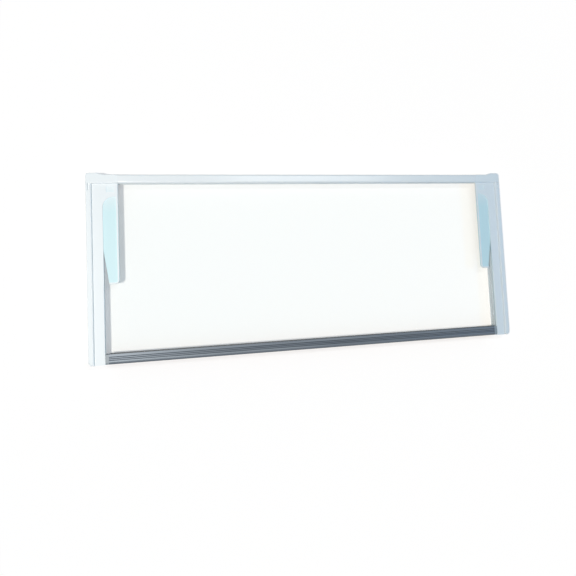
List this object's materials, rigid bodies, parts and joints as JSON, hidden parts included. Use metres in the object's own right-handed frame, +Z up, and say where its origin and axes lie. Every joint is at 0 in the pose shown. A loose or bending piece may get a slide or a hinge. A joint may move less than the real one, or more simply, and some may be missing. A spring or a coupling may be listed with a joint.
{
  "type": "refrigerator shelf",
  "caption": "Shallow glass refrigerator shelf with moulded side rails that widen into plates over the rear half of the glass, a clip-on rear trim and a dark metal front trim.",
  "frame": {"origin": "middle of the plane that the undersides of both runner feet rest on", "axes": "+X along the width to the right, +Y to the rear, +Z up out of the glass"},
  "size_m": [0.5, 0.206, 0.017],
  "materials": {
    "clear_glass": "clear polished",
    "rail_plastic": "satin cool white",
    "rear_plastic": "satin cool white",
    "front_metal": "dark satin anodised, brushed along the width",
    "glazing_rubber": "matt dark grey",
    "plug_plastic": "fine matt light grey"
  },
  "bodies": {
    "root": {"glass_panel": "clear_glass", "left_side_rail": "rail_plastic", "right_side_rail": "rail_plastic", "rear_trim": "rear_plastic", "front_trim": "front_metal", "front_glazing_strip": "glazing_rubber", "left_end_plug": "plug_plastic", "right_end_plug": "plug_plastic"}
  },
  "joints": []
}
